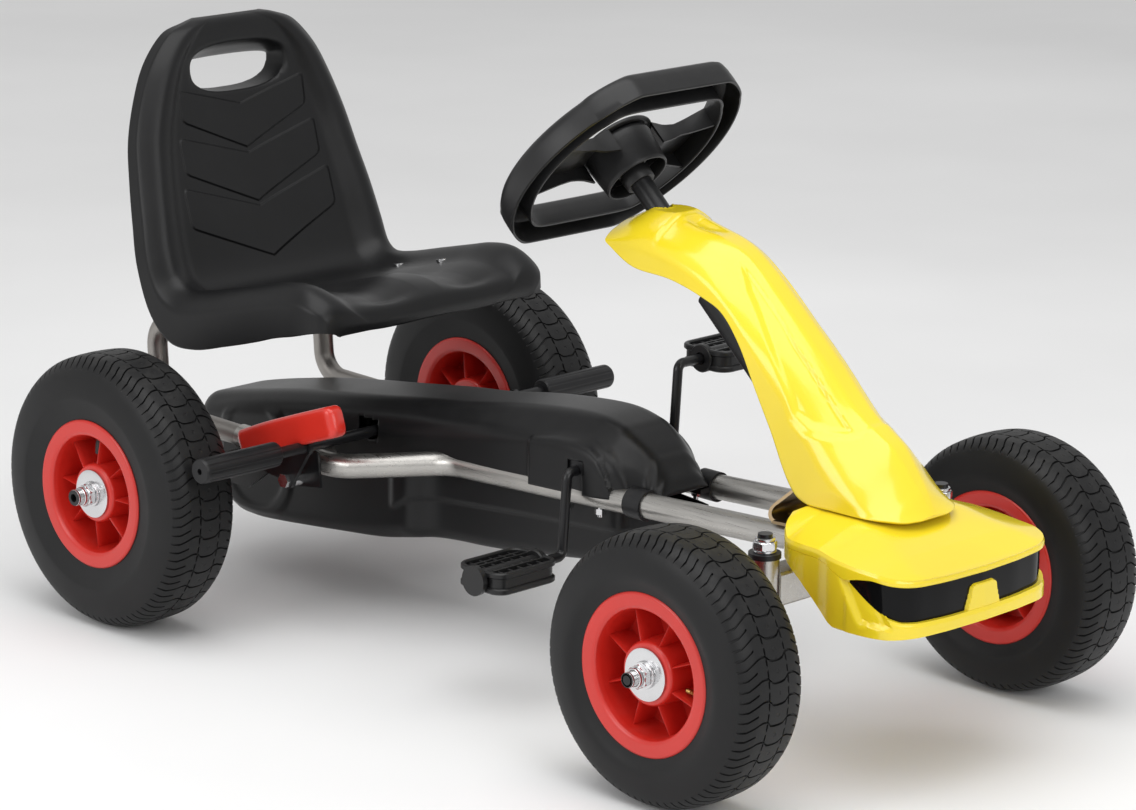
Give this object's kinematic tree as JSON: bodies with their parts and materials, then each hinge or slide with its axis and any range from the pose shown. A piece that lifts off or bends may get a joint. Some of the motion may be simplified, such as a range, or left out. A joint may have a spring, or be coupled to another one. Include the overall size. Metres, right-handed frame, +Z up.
{
  "type": "pedal go kart",
  "caption": "Child's chain-driven pedal go kart with a steel rail frame, bucket seat, hand brake and linked front-wheel steering.",
  "frame": {"origin": "on the ground, on the middle plane, midway between the foremost and the rearmost point", "axes": "+Z up, the kart's front faces -Y, the driver's right is -X"},
  "size_m": [0.6564, 1.071, 0.6237],
  "materials": {
    "yellow_plastic": "gloss",
    "red_plastic": "satin gloss",
    "black_plastic": "fine grain satin",
    "gloss_black_plastic": "high gloss",
    "black_steel": "satin black powder coat",
    "rail_steel": "brushed",
    "zinc_steel": "bright zinc plate",
    "tyre_rubber": "matte",
    "tube_rubber": "matte",
    "nylon": "satin",
    "chain_steel": "oiled"
  },
  "bodies": {
    "frame": {"left_rail": "rail_steel", "right_rail": "rail_steel", "front_beam": "rail_steel", "kingpin_bushes": "nylon", "rear_hangers": "black_steel", "rear_bearings": "zinc_steel", "cross_tube": "rail_steel", "seat_stand": "black_steel", "column_bracket": "rail_steel", "column_bush": "nylon", "crank_blocks": "nylon", "frame_bolts": "zinc_steel", "guard_clamps": "black_plastic", "chain_guard_upper": "black_plastic", "chain_guard_lower": "black_plastic", "tower": "yellow_plastic", "column_cover": "black_plastic", "nose": "yellow_plastic", "visor": "gloss_black_plastic", "seat": "black_plastic", "seat_bolts": "zinc_steel", "brake_brackets": "black_steel", "brake_pins": "zinc_steel", "chain": "chain_steel"},
    "rear_axle": {"rear_axle": "black_steel", "axle_sprocket": "chain_steel", "rear_axle_nuts": "zinc_steel", "rear_left_rim": "red_plastic", "rear_left_tyre": "tyre_rubber", "rear_left_tube": "tube_rubber", "rear_left_bushes": "nylon"},
    "free_rear_wheel": {"rear_right_rim": "red_plastic", "rear_right_tyre": "tyre_rubber", "rear_right_tube": "tube_rubber", "rear_right_bushes": "nylon"},
    "crank": {"crank": "black_steel", "crank_sprocket": "chain_steel", "pedal_caps": "black_plastic"},
    "right_pedal": {"right_pedal": "black_plastic"},
    "left_pedal": {"left_pedal": "black_plastic"},
    "steering": {"steering_column": "black_steel", "steering_wheel": "black_plastic", "wheel_cap": "black_plastic"},
    "right_knuckle": {"right_knuckle": "black_steel", "right_knuckle_nuts": "zinc_steel"},
    "left_knuckle": {"left_knuckle": "black_steel", "left_knuckle_nuts": "zinc_steel"},
    "right_tie_rod": {"right_tie_rod": "black_steel"},
    "left_tie_rod": {"left_tie_rod": "black_steel"},
    "front_right_wheel": {"front_right_rim": "red_plastic", "front_right_tyre": "tyre_rubber", "front_right_tube": "tube_rubber", "front_right_bushes": "nylon"},
    "front_left_wheel": {"front_left_rim": "red_plastic", "front_left_tyre": "tyre_rubber", "front_left_tube": "tube_rubber", "front_left_bushes": "nylon"},
    "brake": {"brake_lever": "black_steel", "brake_handle": "red_plastic", "brake_sleeves": "black_plastic"}
  },
  "joints": [
    {"name": "rear_axle_spin", "type": "hinge", "parent": "frame", "child": "rear_axle", "pos_m": [0, 0.392, 0.143], "axis": [1, 0, 0], "continuous": true},
    {"name": "free_rear_wheel_spin", "type": "hinge", "parent": "rear_axle", "child": "free_rear_wheel", "pos_m": [-0.2664, 0.392, 0.143], "axis": [1, 0, 0], "continuous": true},
    {"name": "crank_spin", "type": "hinge", "parent": "frame", "child": "crank", "pos_m": [0, -0.067, 0.217], "axis": [1, 0, 0], "continuous": true},
    {"name": "right_pedal_spin", "type": "hinge", "parent": "crank", "child": "right_pedal", "pos_m": [-0.161, -0.07134, 0.13411], "axis": [1, 0, 0], "continuous": true},
    {"name": "left_pedal_spin", "type": "hinge", "parent": "crank", "child": "left_pedal", "pos_m": [0.161, -0.06266, 0.29989], "axis": [1, 0, 0], "continuous": true},
    {"name": "steering_turn", "type": "hinge", "parent": "frame", "child": "steering", "pos_m": [0, -0.058, 0.528], "axis": [0, 0.7373, 0.6756], "range_deg": [-25, 25]},
    {"name": "right_knuckle_turn", "type": "hinge", "parent": "frame", "child": "right_knuckle", "pos_m": [-0.127, -0.375, 0.178], "axis": [0, 0, 1], "range_deg": [-28, 28]},
    {"name": "left_knuckle_turn", "type": "hinge", "parent": "frame", "child": "left_knuckle", "pos_m": [0.127, -0.375, 0.178], "axis": [0, 0, 1], "range_deg": [-28, 28]},
    {"name": "right_tie_rod_swing", "type": "hinge", "parent": "right_knuckle", "child": "right_tie_rod", "pos_m": [-0.12, -0.313, 0.147], "axis": [0, 0, 1], "range_deg": [-32.75, 32.75]},
    {"name": "left_tie_rod_swing", "type": "hinge", "parent": "left_knuckle", "child": "left_tie_rod", "pos_m": [0.12, -0.313, 0.147], "axis": [0, 0, 1], "range_deg": [-32.75, 32.75]},
    {"name": "front_right_wheel_spin", "type": "hinge", "parent": "right_knuckle", "child": "front_right_wheel", "pos_m": [-0.2478, -0.375, 0.13], "axis": [1, 0, 0], "continuous": true},
    {"name": "front_left_wheel_spin", "type": "hinge", "parent": "left_knuckle", "child": "front_left_wheel", "pos_m": [0.2478, -0.375, 0.13], "axis": [1, 0, 0], "continuous": true},
    {"name": "brake_pull", "type": "hinge", "parent": "frame", "child": "brake", "pos_m": [0, 0.262, 0.156], "axis": [1, 0, 0], "range_deg": [-14, 0]}
  ],
  "couplings": [
    {"joint": "crank_spin", "follows": "rear_axle_spin", "ratio": 1.2},
    {"joint": "right_knuckle_turn", "follows": "steering_turn", "ratio": 1.12},
    {"joint": "left_knuckle_turn", "follows": "steering_turn", "ratio": 1.12},
    {"joint": "right_tie_rod_swing", "follows": "steering_turn", "ratio": -1.31},
    {"joint": "left_tie_rod_swing", "follows": "steering_turn", "ratio": -1.31}
  ]
}
